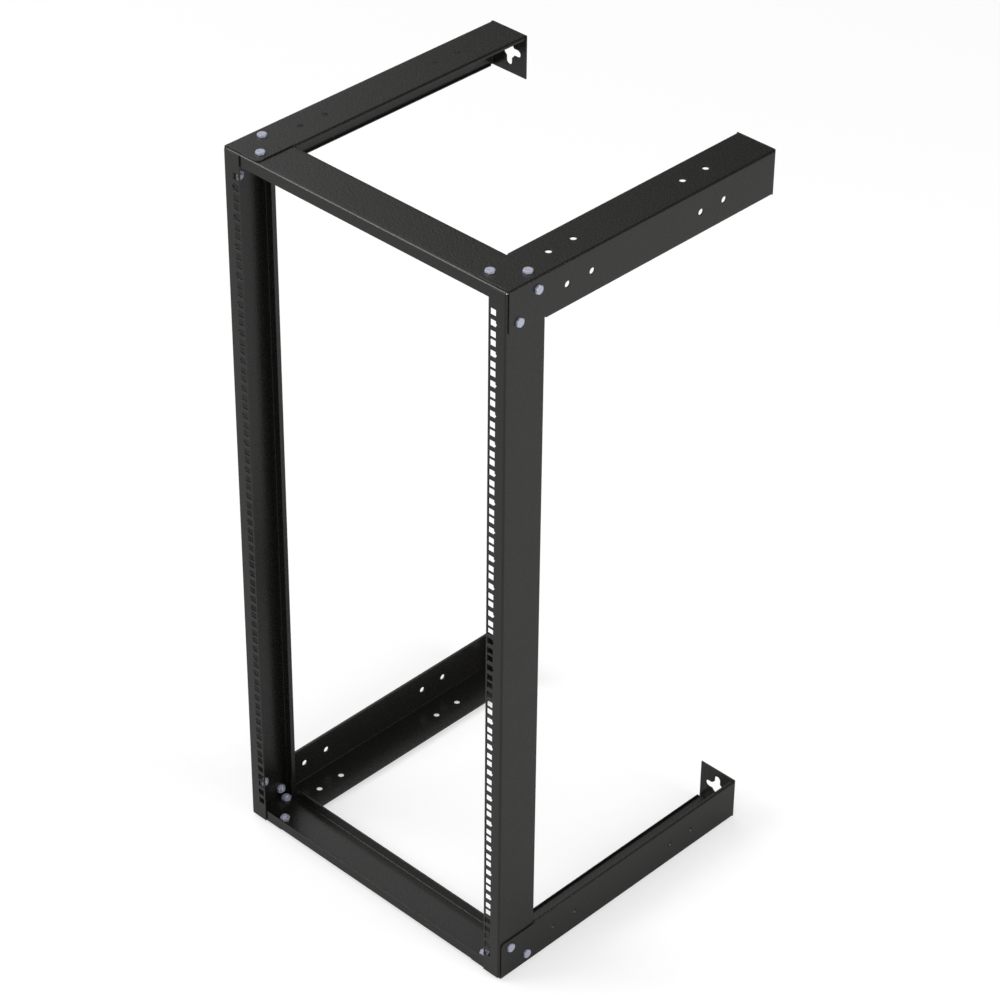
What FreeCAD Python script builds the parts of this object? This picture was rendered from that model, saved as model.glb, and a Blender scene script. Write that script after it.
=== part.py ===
"""Wall mount open frame rack: two folded posts with square rail holes, two folded crossbars, and four folded
wall arms that are also the corner gussets, held by hexagon bolts and nuts.

Millimetres. X runs along the front to the right, Y from the front to the wall and Z up. The origin is in the
middle of the footprint, level with the lowest bolt heads.
Every sub-part is drawn about the middle height of the rack with Y = 0 at the front face of the posts, and its
Placement carries it to the origin above. The left post is the right post turned half a turn about the Y axis,
and so are the top crossbar and the upper arms, because top and bottom are alike.
"""
import FreeCAD
import Part
import Sketcher
import math
import os

SIZES = [
    ("sheet_gauge", 2.0, "thickness of all folded sheet"),
    ("bend_inside", 1.0, "inside radius of every bend"),
    ("rack_units", 24, "height units between the crossbars"),
    ("unit_pitch", 44.45, "height of one rack unit"),
    ("hole_pitch", 15.875, "centre to centre of the holes inside one unit"),
    ("column_inset", 7.55, "column of rail holes from the flange's free edge"),
    ("rail_hole", 9.5, "side of the square rail holes"),
    ("notch_depth", 1.7, "V mark on the middle hole of each unit"),
    ("notch_width", 3.4, "mouth of the V mark"),
    ("clear_opening", 450.0, "between the post flanges"),
    ("front_flange", 29.5, "front flange of a post"),
    ("post_depth", 71.0, "front to back of a post"),
    ("rear_flange", 21.0, "rear flange of a post"),
    ("rear_lip", 9.0, "lip of a post's rear flange"),
    ("post_setback", 3.0, "post end below the outer face of the arms"),
    ("end_margin", 30.6, "rack units to the outer face of the arms"),
    ("fit_gap", 0.5, "gap between folded pieces that pass each other"),
    ("bar_front_flange", 18.0, "front flange of a crossbar"),
    ("bar_rear_flange", 18.0, "rear flange of a crossbar"),
    ("bar_notch", 5.0, "crossbar rear flange to the post's lip"),
    ("rack_depth", 500.0, "front face of the posts to the wall"),
    ("arm_setback", 4.0, "arm end behind the front of the posts"),
    ("arm_leg", 66.5, "both flanges of an arm"),
    ("arm_lip", 7.0, "stiffening lips of an arm"),
    ("lip_start_gap", 1.5, "arm lips start behind the posts"),
    ("arm_corner", 4.0, "cut corners at the arm's front end"),
    ("corner_relief", 4.0, "square relief where the arm's three faces meet"),
    ("small_hole", 9.0, "spare holes along the arms"),
    ("small_hole_front", 107.0, "first spare hole from the front"),
    ("small_hole_pair", 44.45, "holes of one pair"),
    ("small_hole_step", 247.5, "from one pair to the next"),
    ("key_head", 22.0, "round head of the wall keyhole"),
    ("key_slot", 11.0, "width of the keyhole slots"),
    ("key_reach", 21.5, "keyhole head centre to the slot tips"),
    ("key_shift", 1.0, "keyhole centre inwards from the middle of the tab"),
    ("bolt_inset", 17.4, "nearer bolt from the arm's corner and end"),
    ("bolt_edge", 16.5, "farther bolt from the arm's free edge"),
    ("bolt_back", 16.8, "rear bolt from the post's back"),
    ("bolt_shank", 8.0, "thread diameter of the bolts"),
    ("bolt_length", 12.0, "bolt length under the head"),
    ("bolt_hole", 9.0, "clearance holes for the bolts"),
    ("hex_flats", 12.0, "across flats of bolt heads and nuts"),
    ("head_height", 3.5, "height of a bolt head"),
    ("nut_height", 5.0, "height of a nut"),
    ("thread_gap", 0.1, "nut bore over the thread diameter"),
]

UNTURNED = FreeCAD.Rotation()
HALF_TURN = FreeCAD.Rotation(FreeCAD.Vector(0, 1, 0), 180)
HEX_SIDES = 6
FLATS_TO_RADIUS = 1 / math.sqrt(3)
HOLE_PLACES = (-1, 0, 1)

doc = FreeCAD.newDocument("OpenFrameRack")


class Size:
    """A length that carries both its value and the sheet expression that gives it."""

    def __init__(self, text, value):
        self.text = text
        self.value = value

    def joined(self, sign, other):
        other = size_of(other)
        left = self.value
        right = other.value
        values = {"+": left + right, "-": left - right, "*": left * right}
        return Size("(%s %s %s)" % (self.text, sign, other.text), values[sign])

    def __add__(self, other):
        return self.joined("+", other)

    def __radd__(self, other):
        return size_of(other).joined("+", self)

    def __sub__(self, other):
        return self.joined("-", other)

    def __rsub__(self, other):
        return size_of(other).joined("-", self)

    def __mul__(self, other):
        return self.joined("*", other)

    def __rmul__(self, other):
        return size_of(other).joined("*", self)

    def __truediv__(self, number):
        return Size("(%s / %s)" % (self.text, number), self.value / number)

    def __neg__(self):
        return size_of(-1) * self


def size_of(thing):
    """The thing itself if it is a Size, or a plain number made one."""
    if isinstance(thing, Size):
        return thing
    return Size("(%s)" % thing, float(thing))


def fill_sheet():
    """Writes the driving dimensions into the sheet and gives them back by name."""
    sheet = doc.addObject("Spreadsheet::Sheet", "Sizes")
    sizes = {}
    for row, (name, value, meaning) in enumerate(SIZES, start=1):
        sheet.set("A%d" % row, name)
        sheet.set("B%d" % row, str(value))
        sheet.set("C%d" % row, meaning)
        sheet.setAlias("B%d" % row, name)
        sizes[name] = Size("Sizes." + name, float(value))
    doc.recompute()
    return sizes


D = fill_sheet()

gauge = D["sheet_gauge"]
bend_in = D["bend_inside"]
bend_out = bend_in + gauge
half_opening = D["clear_opening"] / 2
half_width = half_opening + D["front_flange"]
rail_line = half_opening + D["column_inset"]
half_height = D["rack_units"] * D["unit_pitch"] / 2 + D["end_margin"]
arm_side = half_width + gauge
bar_face = half_height - gauge
bar_front = gauge
bar_back = D["post_depth"] - gauge - D["fit_gap"]
bar_end = half_width - bend_in - D["fit_gap"]
near_bolt = D["bolt_inset"]
far_bolt = D["arm_leg"] - D["bolt_edge"]
front_bolt_y = D["arm_setback"] + near_bolt
rear_bolt_y = D["post_depth"] - D["bolt_back"]


def move_to_frame(thing, rotation):
    """Carries a sub-part from its drawing frame to the rack's origin, turned or not."""
    thing.Placement = FreeCAD.Placement(FreeCAD.Vector(), rotation)
    thing.setExpression("Placement.Base.y", (-D["rack_depth"] / 2).text)
    thing.setExpression("Placement.Base.z", (half_height + D["head_height"]).text)


def new_body(label, rotation):
    body = doc.addObject("PartDesign::Body", label)
    body.Label = label
    move_to_frame(body, rotation)
    return body


def origin_part(body, role):
    for part in body.Origin.OriginFeatures:
        if part.Role == role:
            return part
    raise RuntimeError(role + " is missing in " + body.Label)


def new_sketch(body, name, plane, lift=None):
    """A sketch on one of the body's own planes, lifted along that plane's normal."""
    sketch = body.newObject("Sketcher::SketchObject", name)
    sketch.AttachmentSupport = (origin_part(body, plane), [""])
    sketch.MapMode = "FlatFace"
    if lift is not None:
        sketch.setExpression("AttachmentOffset.Base.z", lift.text)
    return sketch


def bind(sketch, kind, places, size):
    """Adds a dimension to the sketch and ties it to its expression."""
    index = sketch.addConstraint(Sketcher.Constraint(kind, *places, size.value))
    sketch.setExpression("Constraints[%d]" % index, size.text)


def pin_point(sketch, edge, end, point):
    bind(sketch, "DistanceX", (edge, end), point[0])
    bind(sketch, "DistanceY", (edge, end), point[1])


def flat(point):
    return FreeCAD.Vector(point[0].value, point[1].value, 0)


def step_towards(start, goal):
    """Signs of the way from one corner to the next, which runs along one axis of the sketch."""
    way = flat(goal) - flat(start)
    return (round(way.x / way.Length), round(way.y / way.Length))


def outline(sketch, corners):
    """Draws a closed outline. A corner is (x, y), or (x, y, radius) where a bend rounds it."""
    corners = [tuple(size_of(number) for number in corner) for corner in corners]
    count = len(corners)
    arrive = []
    leave = []
    for index, corner in enumerate(corners):
        point = corner[:2]
        if len(corner) == 2:
            arrive.append(point)
            leave.append(point)
            continue
        radius = corner[2]
        back = step_towards(point, corners[index - 1][:2])
        ahead = step_towards(point, corners[(index + 1) % count][:2])
        arrive.append((point[0] + radius * back[0], point[1] + radius * back[1]))
        leave.append((point[0] + radius * ahead[0], point[1] + radius * ahead[1]))
    lines = []
    for index in range(count):
        start = leave[index]
        end = arrive[(index + 1) % count]
        line = sketch.addGeometry(Part.LineSegment(flat(start), flat(end)))
        lines.append(line)
        pin_point(sketch, line, 1, start)
    for index, corner in enumerate(corners):
        before = lines[index - 1]
        after = lines[index]
        if len(corner) == 2:
            sketch.addConstraint(Sketcher.Constraint("Coincident", before, 2, after, 1))
            continue
        pin_point(sketch, before, 2, arrive[index])
        round_corner(sketch, before, after, arrive[index], leave[index], corner)


def round_corner(sketch, before, after, arrive, leave, corner):
    """Joins the ends of two lines by a quarter circle that touches both."""
    radius = corner[2]
    middle = flat(arrive) + flat(leave) - flat(corner)
    spoke_in = flat(arrive) - middle
    spoke_out = flat(leave) - middle
    turns_left = spoke_in.cross(spoke_out).z > 0
    first = spoke_in if turns_left else spoke_out
    start = math.atan2(first.y, first.x)
    circle = Part.Circle(middle, FreeCAD.Vector(0, 0, 1), radius.value)
    arc = sketch.addGeometry(Part.ArcOfCircle(circle, start, start + math.pi / 2))
    near = 1 if turns_left else 2
    far = 2 if turns_left else 1
    sketch.addConstraint(Sketcher.Constraint("Coincident", arc, near, before, 2))
    sketch.addConstraint(Sketcher.Constraint("Coincident", arc, far, after, 1))
    bind(sketch, "Radius", (arc,), radius)


def circles(sketch, centres, diameter):
    for centre in centres:
        circle = Part.Circle(flat(centre), FreeCAD.Vector(0, 0, 1), diameter.value / 2)
        edge = sketch.addGeometry(circle)
        pin_point(sketch, edge, 3, centre)
        bind(sketch, "Radius", (edge,), diameter / 2)


def slot(sketch, inner, outer, width):
    """Draws a slot with a straight inner end at one point and a round end about the other."""
    way = step_towards(inner, outer)
    across = (-way[1], way[0])
    radius = width / 2
    sides = []
    for sign in (-1, 1):
        side = (across[0] * sign, across[1] * sign)
        start = (inner[0] + radius * side[0], inner[1] + radius * side[1])
        end = (outer[0] + radius * side[0], outer[1] + radius * side[1])
        line = sketch.addGeometry(Part.LineSegment(flat(start), flat(end)))
        pin_point(sketch, line, 1, start)
        pin_point(sketch, line, 2, end)
        sides.append(line)
    right, left = sides
    back = sketch.addGeometry(Part.LineSegment(sketch.Geometry[left].StartPoint, sketch.Geometry[right].StartPoint))
    sketch.addConstraint(Sketcher.Constraint("Coincident", back, 1, left, 1))
    sketch.addConstraint(Sketcher.Constraint("Coincident", back, 2, right, 1))
    circle = Part.Circle(flat(outer), FreeCAD.Vector(0, 0, 1), radius.value)
    start = math.atan2(-across[1], -across[0])
    tip = sketch.addGeometry(Part.ArcOfCircle(circle, start, start + math.pi))
    sketch.addConstraint(Sketcher.Constraint("Coincident", tip, 1, right, 2))
    sketch.addConstraint(Sketcher.Constraint("Coincident", tip, 2, left, 2))
    if way[0]:
        bind(sketch, "DistanceX", (tip, 3), outer[0])
    else:
        bind(sketch, "DistanceY", (tip, 3), outer[1])


def pad(body, sketch, length, backwards=False, both_ways=False):
    """Thickens a sketch along its plane's normal, against it, or half to each side."""
    feature = body.newObject("PartDesign::Pad", sketch.Name + "_pad")
    feature.Profile = sketch
    feature.setExpression("Length", length.text)
    feature.Reversed = backwards
    feature.Midplane = both_ways
    sketch.Visibility = False
    body.Tip = feature
    return feature


def pocket(body, sketch, length, along=False, both_ways=False):
    """Cuts a sketch against its plane's normal, along it, or half to each side."""
    feature = body.newObject("PartDesign::Pocket", sketch.Name + "_cut")
    feature.Profile = sketch
    feature.setExpression("Length", length.text)
    feature.Reversed = along
    feature.Midplane = both_ways
    sketch.Visibility = False
    body.Tip = feature
    return feature


def rectangle(left, right, low, high):
    return [(left, low), (right, low), (right, high), (left, high)]


def add_post_section(body):
    """C section: front flange with its free edge at the opening, outer web, rear flange and its forward lip."""
    sketch = new_sketch(body, body.Label + "_section", "XY_Plane")
    lip_x = half_width - D["rear_flange"]
    depth = D["post_depth"]
    lip_y = depth - D["rear_lip"]
    outline(sketch, [
        (half_opening, 0),
        (half_width, 0, bend_out),
        (half_width, depth, bend_out),
        (lip_x, depth, bend_out),
        (lip_x, lip_y),
        (lip_x + gauge, lip_y),
        (lip_x + gauge, depth - gauge, bend_in),
        (half_width - gauge, depth - gauge, bend_in),
        (half_width - gauge, gauge, bend_in),
        (half_opening, gauge),
    ])
    pad(body, sketch, 2 * (half_height - D["post_setback"]), both_ways=True)


def trim_post_ends(body):
    """Stops the web and rear flange short of the crossbars, and leaves the front flange long."""
    sketch = new_sketch(body, body.Label + "_ends", "YZ_Plane")
    bar_inside = bar_face - gauge - bend_in - D["fit_gap"] / 2
    past_back = D["post_depth"] + gauge
    for end in (-1, 1):
        outline(sketch, rectangle(gauge, past_back, bar_inside * end, half_height * end))
    pocket(body, sketch, 4 * half_width, both_ways=True)


def cut_rail_holes(body):
    """Cuts the square holes of the lowest unit, the middle one with its V mark, and repeats them up the post."""
    sketch = new_sketch(body, body.Label + "_unit", "XZ_Plane")
    first_unit = D["end_margin"] + D["unit_pitch"] / 2 - half_height
    half_hole = D["rail_hole"] / 2
    right = rail_line + half_hole
    for place in HOLE_PLACES:
        height = first_unit + D["hole_pitch"] * place
        corners = rectangle(rail_line - half_hole, right, height - half_hole, height + half_hole)
        if place == 0:
            half_mouth = D["notch_width"] / 2
            corners[2:2] = [
                (right, height - half_mouth),
                (right + D["notch_depth"], height),
                (right, height + half_mouth),
            ]
        outline(sketch, corners)
    holes = pocket(body, sketch, gauge + bend_in)
    pattern = body.newObject("PartDesign::LinearPattern", body.Label + "_units")
    pattern.Originals = [holes]
    pattern.Direction = (origin_part(body, "Z_Axis"), [""])
    pattern.setExpression("Length", ((D["rack_units"] - 1) * D["unit_pitch"]).text)
    pattern.setExpression("Occurrences", D["rack_units"].text)
    body.Tip = pattern


def drill_post(body):
    """Holes in the web for the two bolts at each end."""
    sketch = new_sketch(body, body.Label + "_bolts", "YZ_Plane", half_width)
    for end in (-1, 1):
        front = (front_bolt_y, (half_height - far_bolt) * end)
        rear = (rear_bolt_y, (half_height - near_bolt) * end)
        circles(sketch, (front, rear), D["bolt_hole"])
    pocket(body, sketch, gauge)


def make_post(label, rotation):
    body = new_body(label, rotation)
    add_post_section(body)
    trim_post_ends(body)
    cut_rail_holes(body)
    drill_post(body)
    return body


def make_crossbar(label, rotation):
    """U section with its web down, made to lie inside the posts and cut back where it passes them."""
    body = new_body(label, rotation)
    sketch = new_sketch(body, label + "_section", "YZ_Plane")
    outside = -bar_face
    inside = gauge - bar_face
    front_top = D["bar_front_flange"] - bar_face
    rear_top = D["bar_rear_flange"] - bar_face
    outline(sketch, [
        (bar_front, front_top),
        (bar_front, outside, bend_out),
        (bar_back, outside, bend_out),
        (bar_back, rear_top),
        (bar_back - gauge, rear_top),
        (bar_back - gauge, inside, bend_in),
        (bar_front + gauge, inside, bend_in),
        (bar_front + gauge, front_top),
    ])
    pad(body, sketch, 2 * bar_end, both_ways=True)

    middle = (bar_front + bar_back) / 2
    front_end = half_width - gauge - bend_in - D["fit_gap"]
    rear_end = half_width - D["rear_flange"] - D["bar_notch"]
    for name, end, along in (("front", front_end, True), ("rear", rear_end, False)):
        notch = new_sketch(body, label + "_" + name, "XZ_Plane", -middle)
        for side in (-1, 1):
            outline(notch, rectangle(end * side, half_width * side, inside, 0))
        pocket(body, notch, D["post_depth"], along=along)

    holes = new_sketch(body, label + "_bolts", "XY_Plane", outside)
    for side in (-1, 1):
        front = ((arm_side - far_bolt) * side, front_bolt_y)
        rear = ((arm_side - near_bolt) * side, rear_bolt_y)
        circles(holes, (front, rear), D["bolt_hole"])
    pocket(body, holes, gauge, along=True)
    return body


def add_arm_angle(body, side, end_y):
    """Angle section: flat flange below and side flange outside, up to where the tab's bend starts."""
    sketch = new_sketch(body, body.Label + "_angle", "XZ_Plane", -D["arm_setback"])
    inner_x = arm_side - D["arm_leg"] + bend_out
    top_z = D["arm_leg"] - bend_out - half_height
    outline(sketch, [
        (inner_x * side, -half_height),
        (arm_side * side, -half_height, bend_out),
        (arm_side * side, top_z),
        (half_width * side, top_z),
        (half_width * side, gauge - half_height, bend_in),
        (inner_x * side, gauge - half_height),
    ])
    pad(body, sketch, end_y - D["arm_setback"], backwards=True)


def add_arm_lips(body, side, end_y):
    """Stiffening lips with their bends along the two free edges, behind the post and crossbar."""
    start_y = D["post_depth"] + D["lip_start_gap"]
    sketch = new_sketch(body, body.Label + "_lips", "XZ_Plane", -start_y)
    inner_x = arm_side - D["arm_leg"]
    top_z = D["arm_leg"] - half_height
    overlap = bend_out + gauge
    outline(sketch, [
        ((inner_x + overlap) * side, -half_height),
        ((inner_x + overlap) * side, gauge - half_height),
        ((inner_x + gauge) * side, gauge - half_height, bend_in),
        ((inner_x + gauge) * side, D["arm_lip"] - half_height),
        (inner_x * side, D["arm_lip"] - half_height),
        (inner_x * side, -half_height, bend_out),
    ])
    outline(sketch, [
        (arm_side * side, top_z - overlap),
        (half_width * side, top_z - overlap),
        (half_width * side, top_z - gauge, bend_in),
        ((arm_side - D["arm_lip"]) * side, top_z - gauge),
        ((arm_side - D["arm_lip"]) * side, top_z),
        (arm_side * side, top_z, bend_out),
    ])
    pad(body, sketch, end_y - start_y, backwards=True)


def slant_lip_ends(body, side, end_y):
    """Cuts the wall ends of both lips at 45 degrees."""
    free_y = end_y - D["arm_lip"] + bend_in
    inner_x = arm_side - D["arm_leg"]
    flat_lip = new_sketch(body, body.Label + "_flat_lip_end", "YZ_Plane", (inner_x - gauge) * side)
    lip_z = D["arm_lip"] - half_height
    outline(flat_lip, [
        (free_y, lip_z),
        (end_y, lip_z - (end_y - free_y)),
        (end_y, lip_z),
    ])
    pocket(body, flat_lip, D["arm_leg"] / 2, along=(side > 0))
    top_z = D["arm_leg"] - half_height
    side_lip = new_sketch(body, body.Label + "_side_lip_end", "XY_Plane", top_z + gauge)
    lip_x = arm_side - D["arm_lip"]
    outline(side_lip, [
        (lip_x * side, free_y),
        ((lip_x + (end_y - free_y)) * side, end_y),
        (lip_x * side, end_y),
    ])
    pocket(body, side_lip, D["arm_leg"] / 2)


def add_wall_tab(body, side, end_y):
    """Square plate at the wall, folded in from the side flange."""
    sketch = new_sketch(body, body.Label + "_tab", "XY_Plane", -half_height)
    tab_edge = arm_side - D["arm_leg"]
    back = D["rack_depth"]
    start_y = end_y - bend_out
    outline(sketch, [
        (arm_side * side, start_y),
        (arm_side * side, back, bend_out),
        (tab_edge * side, back),
        (tab_edge * side, back - gauge),
        (half_width * side, back - gauge, bend_in),
        (half_width * side, start_y),
    ])
    pad(body, sketch, D["arm_leg"])
    relief = new_sketch(body, body.Label + "_relief", "XZ_Plane", -(back + gauge))
    corner_x = arm_side - D["corner_relief"]
    corner_z = D["corner_relief"] - half_height
    outline(relief, rectangle(corner_x * side, (arm_side + gauge) * side, -half_height - gauge, corner_z))
    pocket(body, relief, gauge + D["corner_relief"], along=True)


def cut_keyhole(body, side):
    """Round head with one slot towards each free edge, so that the arm hangs either way up."""
    middle = D["arm_leg"] / 2
    centre = ((arm_side - middle - D["key_shift"]) * side, middle - half_height)
    lift = -(D["rack_depth"] + gauge)
    depth = gauge * 2
    head = new_sketch(body, body.Label + "_key_head", "XZ_Plane", lift)
    circles(head, (centre,), D["key_head"])
    pocket(body, head, depth, along=True)
    reach = D["key_reach"] - D["key_slot"] / 2
    tips = {"inward": (centre[0] - reach * side, centre[1]), "upward": (centre[0], centre[1] + reach)}
    for name, tip in tips.items():
        cut = new_sketch(body, body.Label + "_key_" + name, "XZ_Plane", lift)
        slot(cut, centre, tip, D["key_slot"])
        pocket(body, cut, depth, along=True)


def trim_arm_corners(body, side):
    """Cuts the free front corner of each flange."""
    corner = D["arm_corner"]
    front = D["arm_setback"]
    inner_x = arm_side - D["arm_leg"] + bend_out
    flat_corner = new_sketch(body, body.Label + "_flat_corner", "XY_Plane", -half_height)
    outline(flat_corner, [
        (inner_x * side, front),
        ((inner_x + corner) * side, front),
        (inner_x * side, front + corner),
    ])
    pocket(body, flat_corner, gauge, along=True)
    top_z = D["arm_leg"] - bend_out - half_height
    side_corner = new_sketch(body, body.Label + "_side_corner", "YZ_Plane", half_width * side)
    outline(side_corner, [
        (front, top_z),
        (front, top_z - corner),
        (front + corner, top_z),
    ])
    pocket(body, side_corner, gauge, along=(side > 0))


def drill_arm(body, side):
    """Bolt holes at the front and the two pairs of spare holes, in both flanges."""
    line = D["arm_leg"] / 2
    first = D["small_hole_front"]
    rows = [first, first + D["small_hole_pair"]]
    rows = rows + [place + D["small_hole_step"] for place in rows]
    flat_holes = new_sketch(body, body.Label + "_flat_holes", "XY_Plane", -half_height)
    circles(flat_holes, (
        ((arm_side - far_bolt) * side, front_bolt_y),
        ((arm_side - near_bolt) * side, rear_bolt_y),
    ), D["bolt_hole"])
    circles(flat_holes, [((arm_side - line) * side, place) for place in rows], D["small_hole"])
    pocket(body, flat_holes, gauge, along=True)
    side_holes = new_sketch(body, body.Label + "_side_holes", "YZ_Plane", half_width * side)
    circles(side_holes, (
        (front_bolt_y, far_bolt - half_height),
        (rear_bolt_y, near_bolt - half_height),
    ), D["bolt_hole"])
    circles(side_holes, [(place, line - half_height) for place in rows], D["small_hole"])
    pocket(body, side_holes, gauge, along=(side > 0))


def make_arm(label, side, rotation):
    """Lower arm of the right (side 1) or left (side -1), turned over for the other corner of the rack."""
    body = new_body(label, rotation)
    end_y = D["rack_depth"] - bend_out
    add_arm_angle(body, side, end_y)
    add_arm_lips(body, side, end_y)
    slant_lip_ends(body, side, end_y)
    add_wall_tab(body, side, end_y)
    cut_keyhole(body, side)
    trim_arm_corners(body, side)
    drill_arm(body, side)
    return body


def primitive(kind, name, **sizes):
    thing = doc.addObject(kind, name)
    for key, size in sizes.items():
        thing.setExpression(key, size.text)
    return thing


def hexagon(name, height):
    """Hexagonal prism standing on Z = 0."""
    prism = primitive("Part::Prism", name, Circumradius=D["hex_flats"] * FLATS_TO_RADIUS, Height=height)
    prism.Polygon = HEX_SIDES
    return prism


def make_bolt(name):
    """Hexagon bolt with its head above Z = 0 and its shank below."""
    head = hexagon(name + "_head", D["head_height"])
    shank = primitive("Part::Cylinder", name + "_shank", Radius=D["bolt_shank"] / 2, Height=D["bolt_length"])
    shank.setExpression("Placement.Base.z", (-D["bolt_length"]).text)
    bolt = doc.addObject("Part::Fuse", name)
    bolt.Base = head
    bolt.Tool = shank
    return bolt


def make_nut(name):
    """Hexagon nut standing on Z = 0."""
    block = hexagon(name + "_block", D["nut_height"])
    bore = primitive("Part::Cylinder", name + "_bore", Radius=(D["bolt_shank"] + D["thread_gap"]) / 2,
                     Height=D["nut_height"])
    nut = doc.addObject("Part::Cut", name)
    nut.Base = block
    nut.Tool = bore
    return nut


def put(thing, spot, facing):
    """Places a fastener at a spot, with its own +Z along the facing."""
    turn = FreeCAD.Rotation(FreeCAD.Vector(0, 0, 1), FreeCAD.Vector(*facing))
    thing.Placement = FreeCAD.Placement(FreeCAD.Vector(), turn)
    for axis, size in zip("xyz", spot):
        thing.setExpression("Placement.Base." + axis, size.text)


def fastener_pair(label, make, spots, facing):
    """One node of two like fasteners."""
    pieces = []
    for number, spot in enumerate(spots, start=1):
        piece = make("%s_%d" % (label, number))
        put(piece, spot, facing)
        pieces.append(piece)
    group = doc.addObject("Part::Compound", label)
    group.Label = label
    group.Links = pieces
    move_to_frame(group, UNTURNED)
    return group


def make_corner_fasteners(corner, level, side):
    """Bolts from outside and nuts inside: a pair through the crossbar and a pair through the post."""
    arm_flat = half_height * level
    bar_inside = (bar_face - gauge) * level
    flat_spots = ((arm_side - far_bolt) * side, front_bolt_y), ((arm_side - near_bolt) * side, rear_bolt_y)
    side_spots = (front_bolt_y, (half_height - far_bolt) * level), (rear_bolt_y, (half_height - near_bolt) * level)
    arm_face = arm_side * side
    post_inside = (half_width - gauge) * side
    return [
        fastener_pair(corner + "_crossbar_bolts", make_bolt, [spot + (arm_flat,) for spot in flat_spots],
                      (0, 0, level)),
        fastener_pair(corner + "_crossbar_nuts", make_nut, [spot + (bar_inside,) for spot in flat_spots],
                      (0, 0, -level)),
        fastener_pair(corner + "_post_bolts", make_bolt, [(arm_face,) + spot for spot in side_spots],
                      (side, 0, 0)),
        fastener_pair(corner + "_post_nuts", make_nut, [(post_inside,) + spot for spot in side_spots],
                      (-side, 0, 0)),
    ]


def make_rack():
    nodes = [
        make_post("post_right", UNTURNED),
        make_post("post_left", HALF_TURN),
        make_crossbar("crossbar_bottom", UNTURNED),
        make_crossbar("crossbar_top", HALF_TURN),
        make_arm("arm_lower_right", 1, UNTURNED),
        make_arm("arm_lower_left", -1, UNTURNED),
        make_arm("arm_upper_left", 1, HALF_TURN),
        make_arm("arm_upper_right", -1, HALF_TURN),
    ]
    for level_name, level in (("lower", -1), ("upper", 1)):
        for side_name, side in (("left", -1), ("right", 1)):
            nodes += make_corner_fasteners(level_name + "_" + side_name, level, side)
    return nodes


def check_features():
    """Stops on a feature that failed, or on a pad or cut that changed nothing."""
    for thing in doc.Objects:
        if "Invalid" in thing.State or "Error" in thing.State:
            raise RuntimeError(thing.Name + " failed")
        if thing.TypeId not in ("PartDesign::Pad", "PartDesign::Pocket", "PartDesign::LinearPattern"):
            continue
        before = thing.BaseFeature.Shape.Volume if thing.BaseFeature else 0
        gain = thing.Shape.Volume - before
        if thing.TypeId != "PartDesign::Pad":
            gain = -gain
        if gain <= 0:
            raise RuntimeError(thing.Name + " changed nothing")


def write_parts(nodes):
    os.makedirs("parts", exist_ok=True)
    for node in nodes:
        shape = node.Shape
        if shape.isNull() or not shape.isValid():
            raise RuntimeError(node.Label + " has no valid shape")
        shape.exportStep("parts/%s.step" % node.Label)
        print(node.Label, len(shape.Solids), "solid(s), volume", round(shape.Volume))


rack = make_rack()
doc.recompute()
check_features()
write_parts(rack)
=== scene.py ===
"""Looks of the wall mount open frame rack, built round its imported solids.

Every folded sheet part is worked out as the fabricator makes it: a flat blank, drawn as a grid of cells
with its holes left out, is carried along a fold line, and the sheet then gets its thickness and its
softened edges.
Metres, in the frame of the solids: X to the right, Y to the wall, Z up.
"""
import math

import bmesh
import bpy
import numpy as np
from bpy.props import FloatProperty, FloatVectorProperty, IntProperty
from mathutils import Matrix, Vector


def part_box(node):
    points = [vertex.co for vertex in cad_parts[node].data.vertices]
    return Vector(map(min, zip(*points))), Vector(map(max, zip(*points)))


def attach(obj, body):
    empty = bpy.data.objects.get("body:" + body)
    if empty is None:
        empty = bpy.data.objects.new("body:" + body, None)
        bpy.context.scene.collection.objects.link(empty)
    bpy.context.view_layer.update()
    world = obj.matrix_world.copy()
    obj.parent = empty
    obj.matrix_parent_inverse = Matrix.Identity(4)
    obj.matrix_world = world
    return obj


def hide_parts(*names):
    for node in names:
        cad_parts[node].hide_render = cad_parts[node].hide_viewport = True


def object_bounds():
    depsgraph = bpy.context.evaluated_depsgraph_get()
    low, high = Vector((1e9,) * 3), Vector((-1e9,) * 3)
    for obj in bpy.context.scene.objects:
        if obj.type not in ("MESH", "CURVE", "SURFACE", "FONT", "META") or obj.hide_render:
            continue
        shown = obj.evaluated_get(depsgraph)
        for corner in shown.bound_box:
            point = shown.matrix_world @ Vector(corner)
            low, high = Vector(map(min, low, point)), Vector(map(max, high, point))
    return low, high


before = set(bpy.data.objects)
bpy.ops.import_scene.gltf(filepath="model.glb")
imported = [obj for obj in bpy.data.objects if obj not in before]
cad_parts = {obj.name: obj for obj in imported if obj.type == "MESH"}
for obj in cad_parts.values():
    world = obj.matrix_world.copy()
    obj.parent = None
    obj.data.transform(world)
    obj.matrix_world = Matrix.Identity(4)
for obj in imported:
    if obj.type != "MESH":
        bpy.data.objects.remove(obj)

bl_info = {
    "name": "Open Frame Rack",
    "version": (1, 0, 0),
    "blender": (4, 5, 0),
    "location": "3D View > Sidebar > Rack",
    "description": "Folded sheet parts, fasteners and stage of a wall mount open frame rack",
    "category": "Object",
}

MM = 0.001
CAD_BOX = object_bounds()
QUARTER = math.pi / 2
BEND_STEPS = 6
SAME_LINE = 1e-7
WELD = 0.002 * MM
CHAMFER_RISE = math.tan(math.radians(30))
CORNERS = [(level, side) for level in ("lower", "upper") for side in ("left", "right")]


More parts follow.
